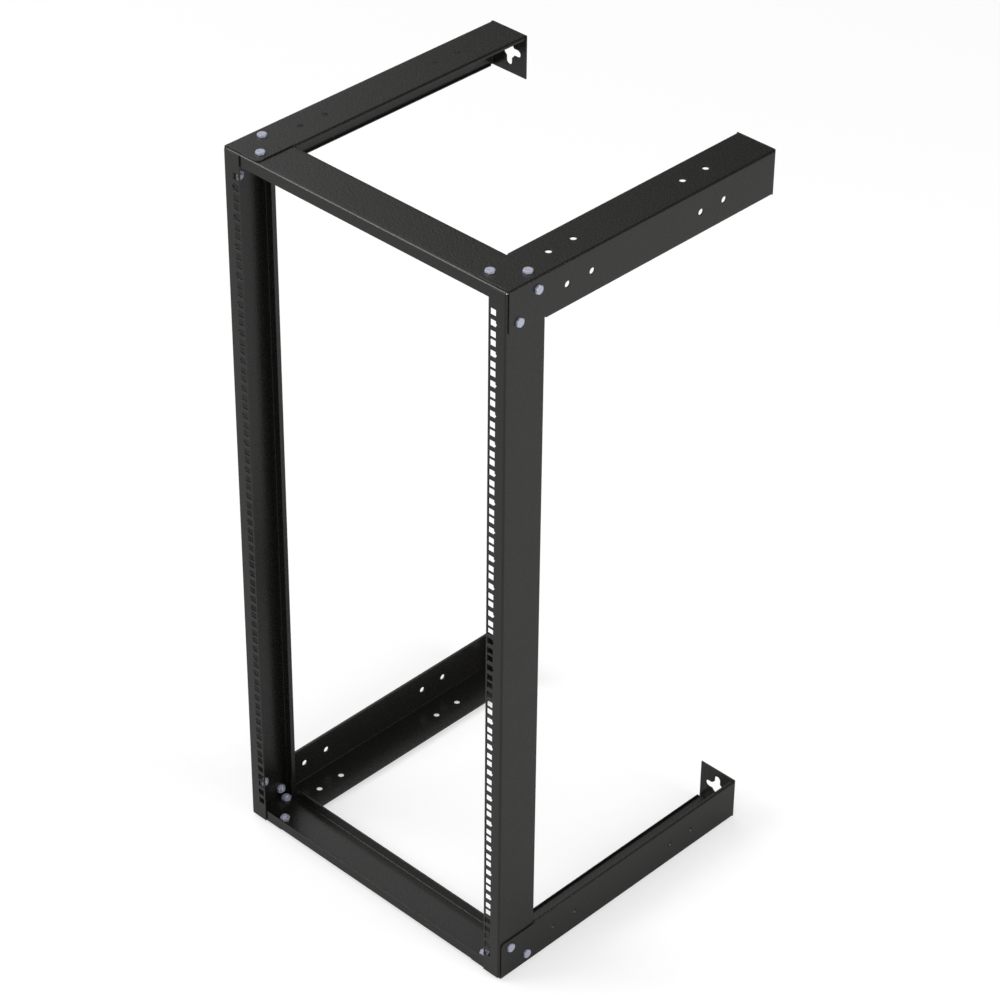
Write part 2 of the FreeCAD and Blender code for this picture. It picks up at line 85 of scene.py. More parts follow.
class RackSheet(bpy.types.PropertyGroup):
    """Sizes of the folded sheet parts that the solids' boxes do not give."""
    gauge: FloatProperty(name="Gauge", description="Thickness of the sheet", default=2 * MM, unit="LENGTH")
    bend: FloatProperty(name="Bend", description="Mid line radius of every bend", default=2 * MM,
                        unit="LENGTH")
    edge: FloatProperty(name="Edge", description="Softening of cut edges by the coating", default=0.25 * MM,
                        unit="LENGTH")
    units: IntProperty(name="Units", description="Height units between the crossbars", default=24)
    unit_pitch: FloatProperty(name="Unit pitch", description="Height of one unit", default=44.45 * MM,
                              unit="LENGTH")
    hole_pitch: FloatProperty(name="Hole pitch", description="Between the holes of one unit",
                              default=15.875 * MM, unit="LENGTH")
    rail_hole: FloatProperty(name="Rail hole", description="Side of the square holes", default=10.2 * MM,
                             unit="LENGTH")
    column_inset: FloatProperty(name="Column inset", description="Hole column from the flange's free edge",
                                default=7.55 * MM, unit="LENGTH")
    notch_depth: FloatProperty(name="Notch depth", description="V mark of the middle hole", default=2.2 * MM,
                               unit="LENGTH")
    notch_width: FloatProperty(name="Notch width", description="Mouth of the V mark", default=4.4 * MM,
                               unit="LENGTH")
    rear_flange: FloatProperty(name="Rear flange", description="Rear flange of a post", default=21 * MM,
                               unit="LENGTH")
    post_lip: FloatProperty(name="Post lip", description="Lip of a post's rear flange", default=9 * MM,
                            unit="LENGTH")
    post_trim: FloatProperty(name="Post trim", description="Post's web end from the front flange's end",
                             default=1.5 * MM, unit="LENGTH")
    bar_front: FloatProperty(name="Bar front", description="Front flange of a crossbar", default=18 * MM,
                             unit="LENGTH")
    bar_front_cut: FloatProperty(name="Bar front cut", description="Front flange end from the bar's end",
                                 default=2 * MM, unit="LENGTH")
    bar_rear_cut: FloatProperty(name="Bar rear cut", description="Rear flange end from the bar's end",
                                default=24.5 * MM, unit="LENGTH")
    arm_lip: FloatProperty(name="Arm lip", description="Lips of an arm", default=5.5 * MM, unit="LENGTH")
    lip_start: FloatProperty(name="Lip start", description="Lip by the post, from the arm's front end",
                             default=67.4 * MM, unit="LENGTH")
    bar_lip_start: FloatProperty(name="Bar lip start", default=65 * MM, unit="LENGTH",
                                 description="Lip by the crossbar, from the arm's front end")
    arm_corner: FloatProperty(name="Arm corner", description="Cut front corners of an arm", default=4 * MM,
                              unit="LENGTH")
    bolt_hole: FloatProperty(name="Bolt hole", description="Clearance holes", default=9 * MM, unit="LENGTH")
    spare_hole: FloatProperty(name="Spare hole", description="Spare holes along an arm", default=9 * MM,
                              unit="LENGTH")
    spare_first: FloatProperty(name="First spare hole", description="From the arm's front end",
                               default=103 * MM, unit="LENGTH")
    spare_step: FloatProperty(name="Spare step", description="From one pair of holes to the next",
                              default=247.5 * MM, unit="LENGTH")
    key_head: FloatProperty(name="Keyhole head", description="Round head of a keyhole", default=22 * MM,
                            unit="LENGTH")
    key_slot: FloatProperty(name="Keyhole slot", description="Width of the slots", default=11 * MM,
                            unit="LENGTH")
    key_reach: FloatProperty(name="Keyhole reach", description="Head centre to the slot tips",
                             default=21.5 * MM, unit="LENGTH")
    key_shift: FloatProperty(name="Keyhole shift", description="Centre inwards from the tab's middle",
                             default=1 * MM, unit="LENGTH")


class RackFasteners(bpy.types.PropertyGroup):
    """Sizes of the bolts and nuts."""
    flats: FloatProperty(name="Across flats", description="Across a bolt head's flats", default=12 * MM,
                         unit="LENGTH")
    shank: FloatProperty(name="Shank", description="Thread diameter", default=8 * MM, unit="LENGTH")
    pitch: FloatProperty(name="Pitch", description="Thread pitch", default=1.25 * MM, unit="LENGTH")
    head: FloatProperty(name="Head", description="Height of a bolt head", default=3.5 * MM, unit="LENGTH")
    length: FloatProperty(name="Length", description="Bolt length under the head", default=12 * MM,
                          unit="LENGTH")
    nut: FloatProperty(name="Nut", description="Height of a nut", default=5 * MM, unit="LENGTH")
    nut_flats: FloatProperty(name="Nut flats", description="Across a nut's flats", default=13 * MM,
                             unit="LENGTH")
    edge: FloatProperty(name="Edge", description="Softening of the edges", default=0.12 * MM, unit="LENGTH")


class RackFinish(bpy.types.PropertyGroup):
    """Colours of the coating and the plating."""
    coat: FloatVectorProperty(name="Coat", description="Black powder coat", subtype="COLOR", size=3,
                              default=(0.0075, 0.0075, 0.0070))
    coat_fleck: FloatVectorProperty(name="Coat fleck", description="Lighter grains of the coat",
                                    subtype="COLOR", size=3, default=(0.018, 0.017, 0.015))
    zinc: FloatVectorProperty(name="Zinc", description="Bright zinc plating", subtype="COLOR", size=3,
                              default=(0.41, 0.43, 0.52))
    coat_roughness: FloatProperty(name="Coat roughness", description="Gloss of the powder coat", default=0.26,
                                  min=0, max=1)
    zinc_metal: FloatProperty(name="Zinc metal", description="Share of mirror in the plating", default=0.35,
                              min=0, max=1)


class RackStage(bpy.types.PropertyGroup):
    """Floor, light and camera."""
    floor_colour: FloatVectorProperty(name="Floor", description="Pale floor", subtype="COLOR", size=3,
                                      default=(0.5, 0.5, 0.5))
    key_power: FloatProperty(name="Key", description="Front softbox", default=250, unit="POWER")
    fill_power: FloatProperty(name="Fill", description="Right softbox", default=65, unit="POWER")
    floor_glow: FloatProperty(name="Floor glow", description="Lift of the floor as it is seen", default=0.53)
    floor_size: FloatProperty(name="Floor size", description="Side of the floor", default=40, unit="LENGTH")
    sky: FloatProperty(name="Sky", description="Strength of the even light", default=1.0)
    dark_side: FloatVectorProperty(name="Dark side", description="Where the studio is dark",
                                   subtype="DIRECTION", size=3, default=(0.575, 0.59, 0.565))
    dark_level: FloatProperty(name="Dark level", description="Share of the even light there", default=0.15)
    dark_from: FloatProperty(name="Dark from", description="Cosine off the dark side where dimming begins",
                             default=0.4)
    dark_to: FloatProperty(name="Dark to", description="Cosine off the dark side where dimming ends",
                           default=0.95)
    wall_from: FloatProperty(name="Wall from", default=0.52,
                             description="Where the light dims towards the wall, as the sine")
    wall_to: FloatProperty(name="Wall to", description="Where that dimming ends, as the sine", default=0.64)
    wall_level: FloatProperty(name="Wall level", description="Share of the even light past it", default=0.05)
    key_direction: FloatVectorProperty(name="Key direction", description="Where the front softbox is",
                                       subtype="DIRECTION", size=3, default=(-0.57, -0.58, 0.59))
    key_distance: FloatProperty(name="Key distance", description="Front softbox from the rack's middle",
                                default=8, unit="LENGTH")
    key_size: FloatProperty(name="Key size", description="Side of the front softbox", default=4,
                            unit="LENGTH")
    fill_direction: FloatVectorProperty(name="Fill direction", description="Where the right softbox is",
                                        subtype="DIRECTION", size=3, default=(0.93, 0.12, 0.35))
    fill_distance: FloatProperty(name="Fill distance", description="Right softbox from the rack's middle",
                                 default=3.6, unit="LENGTH")
    fill_size: FloatProperty(name="Fill size", description="Side of the right softbox", default=2,
                             unit="LENGTH")
    focal: FloatProperty(name="Focal length", description="In widths of the image", default=3.34648)
    eye: FloatVectorProperty(name="Eye", description="Where the camera stands", subtype="TRANSLATION", size=3,
                             default=(2.63092, -2.72989, 3.25296))
    azimuth: FloatProperty(name="Azimuth", description="Camera turned from straight on", subtype="ANGLE",
                           default=math.radians(43.858))
    elevation: FloatProperty(name="Elevation", description="Camera above level", subtype="ANGLE",
                             default=math.radians(35.243))
    roll: FloatProperty(name="Roll", description="Camera tilted about its view", subtype="ANGLE",
                        default=math.radians(0.609))


def fold_line(u, legs, radius, start, heading):
    """Carries a strip's developed length along its fold line.

    The line is straight legs joined by quarter circles that turn left. Each leg or arc adds its own run,
    clipped between 0 and its length: run times the heading for a leg, and for an arc of angle a the radius
    times (sin(heading + a) - sin(heading), cos(heading) - cos(heading + a)).
    """
    x = np.full(np.shape(u), start[0], float)
    y = np.full(np.shape(u), start[1], float)
    begun = 0.0
    for number, leg in enumerate(legs):
        run = np.clip(u - begun, 0, leg)
        x += run * math.cos(heading)
        y += run * math.sin(heading)
        begun += leg
        if number == len(legs) - 1:
            break
        turned = np.clip(u - begun, 0, radius * QUARTER) / radius
        x += radius * (np.sin(heading + turned) - math.sin(heading))
        y += radius * (math.cos(heading) - np.cos(heading + turned))
        heading += QUARTER
        begun += radius * QUARTER
    return x, y


def leg_starts(legs, radius):
    """Developed distance at which each leg of a fold line starts."""
    return np.cumsum([0.0] + [leg + radius * QUARTER for leg in legs[:-1]])


def fold_stops(legs, radius):
    """Grid lines across a fold line: the ends of each leg, and even steps round each bend."""
    stops = []
    for start, leg in zip(leg_starts(legs, radius), legs):
        stops.append(np.array([start, start + leg]))
        stops.append(start + leg + np.linspace(0, radius * QUARTER, BEND_STEPS + 1))
    return np.concatenate(stops[:-1])


def tidy_lines(*lines):
    """Sorted grid lines without repeats."""
    every = np.sort(np.concatenate([np.atleast_1d(line) for line in lines]))
    return every[np.append(True, np.diff(every) > SAME_LINE)]


def fan_angles(extra=()):
    """Angles about a hole's centre: 32 even ones and any extra ones, alike in every eighth of the turn."""
    first = np.append(np.linspace(0, math.pi / 4, 5), extra)
    first = np.abs((first + math.pi / 4) % QUARTER - math.pi / 4)
    half = tidy_lines(first, QUARTER - first)
    return tidy_lines(half, half + QUARTER, half + 2 * QUARTER, half + 3 * QUARTER)[:-1]


def square_reach(angles, half):
    """Distance from the centre of a square to its edge: half the side over the larger of |cos| and |sin|."""
    return half / np.maximum(np.abs(np.cos(angles)), np.abs(np.sin(angles)))


class Window:
    """A square patch of the blank with a hole, whose edge is a radius for every angle."""

    def __init__(self, u, v, half, reach, angles):
        self.u = u
        self.v = v
        self.half = half
        self.reach = reach
        self.angles = angles

    def lines(self):
        """Grid lines in u and v that meet the patch's edge points."""
        rim = square_reach(self.angles, self.half)
        return self.u + rim * np.cos(self.angles), self.v + rim * np.sin(self.angles)

    def covers(self, u, v):
        """Tells which points lie on the patch's square."""
        return (np.abs(u - self.u) < self.half) & (np.abs(v - self.v) < self.half)

    def patch(self, rings=3):
        """Points and faces between the hole and the square.

        The distance from the centre is (1 - t) reach(angle) + t square(angle), with t from 0 to 1.
        """
        share = np.linspace(0, 1, rings)[:, None]
        distance = (1 - share) * self.reach + share * square_reach(self.angles, self.half)
        u = self.u + distance * np.cos(self.angles)
        v = self.v + distance * np.sin(self.angles)
        count = len(self.angles)
        ring, step = np.meshgrid(np.arange(rings - 1), np.arange(count), indexing="ij")
        ring = ring.ravel()
        step = step.ravel()
        after = (step + 1) % count
        faces = np.stack([ring * count + step, (ring + 1) * count + step, (ring + 1) * count + after,
                          ring * count + after], axis=1)
        return np.stack([u.ravel(), v.ravel()], axis=1), faces


def round_window(u, v, diameter, margin=1.5 * MM):
    """Round hole: the same reach at every angle."""
    angles = fan_angles()
    radius = diameter / 2
    return Window(u, v, radius + margin, np.full(angles.shape, radius), angles)


def slot_reach(angles, towards, half_width, tip):
    """Distance from the centre to the edge of a slot with a round tip.

    Along the side it is half the width over |sin|; past that, round the tip at distance d, it is
    d cos + root(half_width squared - (d sin) squared), with both angles counted from the slot's direction.
    """
    off = angles - towards
    side = half_width / np.maximum(np.abs(np.sin(off)), 1e-9)
    middle = tip - half_width
    root = np.sqrt(np.maximum(half_width ** 2 - (middle * np.sin(off)) ** 2, 0))
    beyond = middle * np.cos(off) + root
    on_side = side * np.cos(off) < middle
    return np.where(np.cos(off) > 0, np.where(on_side, side, beyond), 0)


def key_window(u, v, sheet, margin=2.5 * MM):
    """Keyhole with one slot along +u and one along +v: the largest of the head's and both slots' reach."""
    half_slot = sheet.key_slot / 2
    corner = math.asin(sheet.key_slot / sheet.key_head)
    shoulder = math.atan2(half_slot, sheet.key_reach - half_slot)
    angles = fan_angles([corner, shoulder, shoulder / 2, shoulder / 4, shoulder * 0.75])
    reach = np.full(angles.shape, sheet.key_head / 2)
    for towards in (0, QUARTER):
        reach = np.maximum(reach, slot_reach(angles, towards, half_slot, sheet.key_reach))
    return Window(u, v, sheet.key_reach + margin, reach, angles)


class Blank:
    """A flat sheet before folding: grid cells, hole patches and odd triangles, in developed u and v."""

    def __init__(self):
        self.points = []
        self.faces = []
        self.count = 0

    def add(self, points, faces):
        """Adds points, and faces that count from the first of them."""
        self.points.append(points)
        self.faces += (faces + self.count).tolist()
        self.count += len(points)

    def add_cells(self, u_lines, v_lines, windows, keep=None):
        """Adds the hole patches, and the grid cells whose centres keep(u, v) allows, or else every cell."""
        u_lines = tidy_lines(u_lines, *[window.lines()[0] for window in windows])
        v_lines = tidy_lines(v_lines, *[window.lines()[1] for window in windows])
        u_mid, v_mid = np.meshgrid((u_lines[1:] + u_lines[:-1]) / 2, (v_lines[1:] + v_lines[:-1]) / 2,
                                   indexing="ij")
        kept = keep(u_mid, v_mid) if keep else np.full(u_mid.shape, True)
        for window in windows:
            kept &= ~window.covers(u_mid, v_mid)
        i, j = np.nonzero(kept)
        across = len(v_lines)
        first = i * across + j
        u, v = np.meshgrid(u_lines, v_lines, indexing="ij")
        self.add(np.stack([u.ravel(), v.ravel()], axis=1),
                 np.stack([first, first + across, first + across + 1, first + 1], axis=1))
        for window in windows:
            self.add(*window.patch())

    def flat_points(self):
        """Developed u and v of every point."""
        points = np.concatenate(self.points)
        return points[:, 0], points[:, 1]


def sheet_piece(name, places, faces, sheet, material, node):
    """Welds a folded mid surface, thickens it to the gauge and softens its edges."""
    mesh = bpy.data.meshes.new(name)
    mesh.from_pydata(np.stack(places, axis=1).tolist(), [], faces)
    shape = bmesh.new()
    shape.from_mesh(mesh)
    loose = [vert for vert in shape.verts if not vert.link_faces]
    bmesh.ops.delete(shape, geom=loose, context="VERTS")
    bmesh.ops.remove_doubles(shape, verts=shape.verts, dist=WELD)
    bmesh.ops.recalc_face_normals(shape, faces=shape.faces)
    shape.to_mesh(mesh)
    shape.free()
    mesh.shade_smooth()
    mesh.materials.append(material)
    piece = bpy.data.objects.new(name, mesh)
    bpy.context.scene.collection.objects.link(piece)
    shell = piece.modifiers.new("Gauge", "SOLIDIFY")
    shell.thickness = sheet.gauge
    shell.offset = 0
    shell.use_even_offset = True
    bevel = piece.modifiers.new("Edge", "BEVEL")
    bevel.width = sheet.edge
    bevel.segments = 2
    bevel.limit_method = "ANGLE"
    bevel.angle_limit = math.radians(50)
    bevel.use_clamp_overlap = False
    piece.modifiers.new("Flats", "WEIGHTED_NORMAL").keep_sharp = True
    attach(piece, "root")
    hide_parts(node)
    return piece


def turned(x, z):
    """Half a turn about the Y axis through the middle of the rack."""
    low, high = CAD_BOX
    return low[0] + high[0] - x, low[2] + high[2] - z


class Wire:
    """A shader socket that adds its own Math nodes when it is used in an expression."""

    def __init__(self, graph, socket):
        self.graph = graph
        self.socket = socket

    def math(self, operation, left, right):
        node = self.graph.node("ShaderNodeMath", {"operation": operation}, {0: left, 1: right})
        return node.out(0)

    def __add__(self, other):
        return self.math("ADD", self, other)

    __radd__ = __add__

    def __sub__(self, other):
        return self.math("SUBTRACT", self, other)

    def __rsub__(self, other):
        return self.math("SUBTRACT", other, self)

    def __mul__(self, other):
        return self.math("MULTIPLY", self, other)

    __rmul__ = __mul__


class Step:
    """One node of a material, with its outputs as wires."""

    def __init__(self, graph, node):
        self.graph = graph
        self.node = node

    def out(self, key):
        return Wire(self.graph, self.node.outputs[key])


class Graph:
    """The node tree of one material or of the world."""

    def __init__(self, owner):
        owner.use_nodes = True
        self.tree = owner.node_tree
        self.tree.nodes.clear()

    def node(self, kind, settings=None, sockets=None):
        """Adds a node, sets its settings first, then fills its sockets with values or wires."""
        node = self.tree.nodes.new(kind)
        for key, value in (settings or {}).items():
            setattr(node, key, value)
        for key, value in (sockets or {}).items():
            if isinstance(value, Wire):
                self.tree.links.new(value.socket, node.inputs[key])
            else:
                node.inputs[key].default_value = value
        return Step(self, node)


def opaque(colour):
    """A colour with a full alpha, as colour sockets take it."""
    return (*colour, 1.0)


def powder_coat(finish):
    """Matt black powder coat: fine lighter grains, a faint cloudiness and a pebbled skin."""
    material = bpy.data.materials.new("pebbled_powder_coat")
    graph = Graph(material)
    place = graph.node("ShaderNodeTexCoord").out("Object")
    grain = graph.node("ShaderNodeTexNoise", {}, {"Vector": place, "Scale": 620.0, "Detail": 3.0,
                                                  "Roughness": 0.65}).out("Fac")
    cloud = graph.node("ShaderNodeTexNoise", {}, {"Vector": place, "Scale": 14.0, "Detail": 2.0}).out("Fac")
    spread = graph.node("ShaderNodeMapRange", {}, {"Value": grain, "From Min": 0.35, "From Max": 0.72}).out(0)
    amount = spread * 0.8 + (cloud - 0.5) * 0.3
    colour = graph.node("ShaderNodeMix", {"data_type": "RGBA", "clamp_factor": True},
                        {"Factor": amount, 6: opaque(finish.coat), 7: opaque(finish.coat_fleck)}).out(2)
    pebble = graph.node("ShaderNodeTexNoise", {}, {"Vector": place, "Scale": 380.0, "Detail": 2.0}).out("Fac")
    bump = graph.node("ShaderNodeBump", {}, {"Height": pebble, "Strength": 1.0, "Distance": 0.0003}).out(0)
    roughness = finish.coat_roughness + (grain - 0.5) * 0.1
    skin = graph.node("ShaderNodeBsdfPrincipled", {}, {"Base Color": colour, "Roughness": roughness,
                                                       "Normal": bump})
    graph.node("ShaderNodeOutputMaterial", {}, {"Surface": skin.out(0)})
    return material


def zinc_plate(finish):
    """Bright zinc plating with a faint patchy passivation and fine forging texture."""
    material = bpy.data.materials.new("bright_zinc")
    graph = Graph(material)
    place = graph.node("ShaderNodeTexCoord").out("Object")
    patch = graph.node("ShaderNodeTexNoise", {}, {"Vector": place, "Scale": 350.0, "Detail": 3.0}).out("Fac")
    pale = tuple(min(1.0, 1.25 * channel) for channel in finish.zinc)
    colour = graph.node("ShaderNodeMix", {"data_type": "RGBA"},
                        {"Factor": patch, 6: opaque(finish.zinc), 7: opaque(pale)}).out(2)
    fine = graph.node("ShaderNodeTexNoise", {}, {"Vector": place, "Scale": 2600.0}).out("Fac")
    bump = graph.node("ShaderNodeBump", {}, {"Height": fine, "Strength": 0.15, "Distance": 0.00005}).out(0)
    skin = graph.node("ShaderNodeBsdfPrincipled", {}, {"Base Color": colour, "Metallic": finish.zinc_metal,
                                                       "Roughness": 0.35 + patch * 0.2, "Normal": bump})
    graph.node("ShaderNodeOutputMaterial", {}, {"Surface": skin.out(0)})
    return material


def shared(name, make):
    """The material of that name, made on first use."""
    return bpy.data.materials.get(name) or make(bpy.context.scene.rack_finish)


def node_box(name):
    """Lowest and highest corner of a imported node."""
    low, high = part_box(name)
    return np.array(low), np.array(high)


def unit_centres(sheet, middle):
    """Heights of the middle holes of all units, about the rack's middle."""
    return middle + (np.arange(sheet.units) - (sheet.units - 1) / 2) * sheet.unit_pitch


def bolt_spots(name, axis):
    """Centres of a node's two like fasteners seen along an axis (0 for X, 2 for Z), front one first.

    The front fastener is the one farther from the rack's outer corner.
    """
    low, high = node_box(name)
    flats = bpy.context.scene.rack_fasteners.flats
    long_half = flats / math.sqrt(3)
    other = 2 - axis
    outer_high = abs(high[other] - CAD_BOX[1][other]) < abs(low[other] - CAD_BOX[0][other])
    front = low[1] + flats / 2
    rear = high[1] - flats / 2
    far = low[other] + long_half if outer_high else high[other] - long_half
    near = high[other] - long_half if outer_high else low[other] + long_half
    return (far, front), (near, rear)


def build_post(sheet, side):
    """C section folded from a blank of square holes, the left post the right one turned over."""
    low, high = node_box("post_right")
    middle = (low[2] + high[2]) / 2
    half = sheet.gauge / 2
    bend_out = sheet.bend + half
    legs = [high[0] - low[0] - bend_out, high[1] - low[1] - 2 * bend_out, sheet.rear_flange - 2 * bend_out,
            sheet.post_lip - bend_out]
    hole = sheet.rail_hole / 2
    first = sheet.column_inset - hole
    last = sheet.column_inset + hole
    notch = last + sheet.notch_depth
    centres = unit_centres(sheet, middle)
    holes = (centres[:, None] + np.array([-1, 0, 1]) * sheet.hole_pitch).ravel()
    mouth = sheet.notch_width / 2
    u_starts = leg_starts(legs, sheet.bend)
    u_stops = tidy_lines(fold_stops(legs, sheet.bend), first, last, notch)
    trim = sheet.post_trim
    v_stops = tidy_lines([low[2], low[2] + trim, high[2] - trim, high[2]], holes - hole, holes + hole,
                         centres, centres - mouth, centres + mouth)
    windows = []
    for level in ("lower", "upper"):
        for height, depth in bolt_spots(level + "_right_post_bolts", 0):
            windows.append(round_window(u_starts[1] + depth - low[1] - bend_out, height, sheet.bolt_hole))

    def keep(u, v):
        in_hole = np.abs(v[..., None] - holes).min(axis=-1) < hole
        in_mouth = np.abs(v[..., None] - centres).min(axis=-1) < mouth
        trimmed = (v < low[2] + trim) | (v > high[2] - trim)
        return ~((u > first) & (u < last) & in_hole) & ~((u > last) & (u < notch) & in_mouth) & (
            ~trimmed | (u < legs[0] + sheet.bend * QUARTER / 2))

    blank = Blank()
    blank.add_cells(u_stops, v_stops, windows, keep)
    below = centres - mouth
    above = centres + mouth
    edge = np.full(centres.shape, last)
    tip = np.full(centres.shape, notch)
    threes = np.arange(3 * len(centres)).reshape(-1, 3)
    across = np.stack([edge, tip, tip], 1).ravel()
    for heights in ((below, below, centres), (above, centres, above)):
        blank.add(np.stack([across, np.stack(heights, 1).ravel()], 1), threes)
    u, z = blank.flat_points()
    x, y = fold_line(u, legs, sheet.bend, (low[0], low[1] + half), 0)
    if side < 0:
        x, z = turned(x, z)
    name = "post_right" if side > 0 else "post_left"
    return sheet_piece(name + "_sheet", (x, y, z), blank.faces, sheet,
                       shared("pebbled_powder_coat", powder_coat), name)


def build_crossbar(sheet, level):
    """U section with both flanges cut back at the ends, the top bar the bottom one turned over."""
    low, high = node_box("crossbar_bottom")
    half = sheet.gauge / 2
    bend_out = sheet.bend + half
    legs = [sheet.bar_front - bend_out, high[1] - low[1] - 2 * bend_out, high[2] - low[2] - bend_out]
    starts = leg_starts(legs, sheet.bend)
    ends = [low[0], high[0]]
    for cut in (sheet.bar_front_cut, sheet.bar_rear_cut):
        ends += [low[0] + cut, high[0] - cut]
    windows = []
    for side in ("left", "right"):
        for place, depth in bolt_spots("lower_%s_crossbar_bolts" % side, 2):
            windows.append(round_window(starts[1] + depth - low[1] - bend_out, place, sheet.bolt_hole))

    def keep(u, v):
        inside = np.minimum(v - low[0], high[0] - v)
        front = u < starts[1] - sheet.bend * QUARTER / 2
        rear = u > starts[1] + legs[1] + sheet.bend * QUARTER / 2
        return ~(front & (inside < sheet.bar_front_cut)) & ~(rear & (inside < sheet.bar_rear_cut))

    blank = Blank()
    blank.add_cells(fold_stops(legs, sheet.bend), np.array(ends), windows, keep)
    u, x = blank.flat_points()
    y, z = fold_line(u, legs, sheet.bend, (low[1] + half, low[2] + sheet.bar_front), -QUARTER)
    if level > 0:
        x, z = turned(x, z)
    name = "crossbar_top" if level > 0 else "crossbar_bottom"
    return sheet_piece(name + "_sheet", (x, y, z), blank.faces, sheet,
                       shared("pebbled_powder_coat", powder_coat), name)


def build_arm(sheet, side, level):
    """Angle with lips, and a tab folded off its side flange, as two blanks that meet at the tab's bend."""
    low, high = node_box("arm_lower_right")
    half = sheet.gauge / 2
    bend_out = sheet.bend + half
    leg = high[0] - low[0]
    flat = leg - 2 * bend_out
    lip = sheet.arm_lip - bend_out
    legs = [lip, flat, flat, lip]
    starts = leg_starts(legs, sheet.bend)
    side_start = starts[2]
    front = low[1]
    end = high[1] - bend_out
    post_lip = front + sheet.lip_start
    bar_lip = front + sheet.bar_lip_start
    pair = sheet.unit_pitch
    rows = front + sheet.spare_first + np.array([0, pair, sheet.spare_step, sheet.spare_step + pair])
    windows = []
    for (x, y) in bolt_spots("lower_right_crossbar_bolts", 2):
        windows.append(round_window(starts[1] + x - low[0] - bend_out, y, sheet.bolt_hole))
    for (z, y) in bolt_spots("lower_right_post_bolts", 0):
        windows.append(round_window(side_start + z - low[2] - bend_out, y, sheet.bolt_hole))
    for y in rows:
        windows.append(round_window(starts[1] + leg / 2 - bend_out, y, sheet.spare_hole))
        windows.append(round_window(side_start + leg / 2 - bend_out, y, sheet.spare_hole))
    arc = sheet.bend * QUARTER
    tab_start = end + arc
    key = key_window(side_start + leg / 2 - bend_out, tab_start + leg / 2 + sheet.key_shift - bend_out, sheet)
    key_u, key_v = key.lines()
    corner = sheet.arm_corner
    u_stops = tidy_lines(fold_stops(legs, sheet.bend), key_u, starts[1] + corner, side_start + flat - corner,
                         *[window.lines()[0] for window in windows])

    def keep(u, v):
        trimmed = ((u < starts[1]) & (v < bar_lip)) | ((u > side_start + flat) & (v < post_lip))
        corner_cell = (v < front + corner) & ((u < starts[1] + corner) | (u > side_start + flat - corner))
        return ~trimmed & ~corner_cell

    blank = Blank()
    blank.add_cells(u_stops, np.array([front, front + corner, bar_lip, post_lip, end]), windows, keep)
    for cut_u, kept_u in ((starts[1], starts[1] + corner), (side_start + flat, side_start + flat - corner)):
        points = np.array([(cut_u, front + corner), (kept_u, front), (kept_u, front + corner)])
        order = [0, 1, 2] if kept_u > cut_u else [0, 2, 1]
        blank.add(points, np.array([order]))
    body_count = blank.count

    tab_low = side_start - arc - SAME_LINE
    tab_high = side_start + flat + arc + SAME_LINE
    tab_u = u_stops[(u_stops > tab_low) & (u_stops < tab_high)]
    bend_v = end + np.linspace(0, arc, BEND_STEPS + 1)
    tab_end = tab_start + leg - bend_out
    blank.add_cells(tab_u, tidy_lines(bend_v, tab_end, key_v), [key])

    u, v = blank.flat_points()
    x, z = fold_line(u, legs, sheet.bend, (low[0] + half, low[2] + sheet.arm_lip), -QUARTER)
    y = v.copy()
    on_tab = np.arange(len(u)) >= body_count
    tab_y, tab_in = fold_line(v - end, [0, leg - bend_out], sheet.bend, (end, 0), 0)
    tab_z = np.interp(u, [side_start - arc, side_start, side_start + flat, side_start + flat + arc],
                      [low[2], low[2] + bend_out, low[2] + leg - bend_out, low[2] + leg])
    depth_in_lip = np.where(u < side_start, z - low[2], high[0] - x)
    on_lip = (u < starts[1]) | (u > side_start + flat)
    y = np.where(on_lip & ~on_tab, np.minimum(y, end - (depth_in_lip - half)), y)
    x = np.where(on_tab, high[0] - half - tab_in, x)
    y = np.where(on_tab, tab_y, y)
    z = np.where(on_tab, tab_z, z)
    if side * level > 0:
        x = CAD_BOX[0][0] + CAD_BOX[1][0] - x
    if level > 0:
        x, z = turned(x, z)
    name = "arm_%s_%s" % ("upper" if level > 0 else "lower", "right" if side > 0 else "left")
    return sheet_piece(name + "_sheet", (x, y, z), blank.faces, sheet,
                       shared("pebbled_powder_coat", powder_coat), name)


def around(count):
    """Even angles round a full turn."""
    return np.linspace(0, 2 * math.pi, count + 1)[:-1]


def hexagon_reach(angles, flats):
    """Distance to a hexagon's edge: half the flats over the cosine of the angle off the nearest flat."""
    return flats / 2 / np.cos(angles % (math.pi / 3) - math.pi / 6)


def thread_reach(angles, along, sizes, bore=False):
    """Radius of the thread at an angle and a distance along the axis.

    It is the crest less the depth times a tooth that rises and falls once per pitch of the helix, with flats
    at its crest and root. A bore's thread fills the bolt's, with a gap and a little less depth.
    """
    slope = 2.6
    crest_flat = 0.15
    depth = 0.61 * sizes.pitch
    gap = 0.05 * MM
    bore_depth = 0.85
    phase = (along / sizes.pitch - angles / (2 * math.pi)) % 1.0
    tooth = np.clip(np.abs(phase - 0.5) * slope - crest_flat, 0, 1)
    crest = sizes.shank / 2
    if bore:
        return crest + gap - depth * (1 - tooth) * bore_depth
    return crest - depth * tooth


def crown_start(flats):
    """Radius at which the 30 degree cone begins to cut a hexagon's corners."""
    return 0.47 * flats


def tube_faces(stations, count, closed=False):
    """Faces of a skin of rings, each ring with the same count of points."""
    bands = stations if closed else stations - 1
    ring, step = np.meshgrid(np.arange(bands), np.arange(count), indexing="ij")
    ring = ring.ravel()
    step = step.ravel()
    after = (step + 1) % count
    above = (ring + 1) % stations
    return np.stack([ring * count + step, ring * count + after, above * count + after,
                     above * count + step], axis=1)


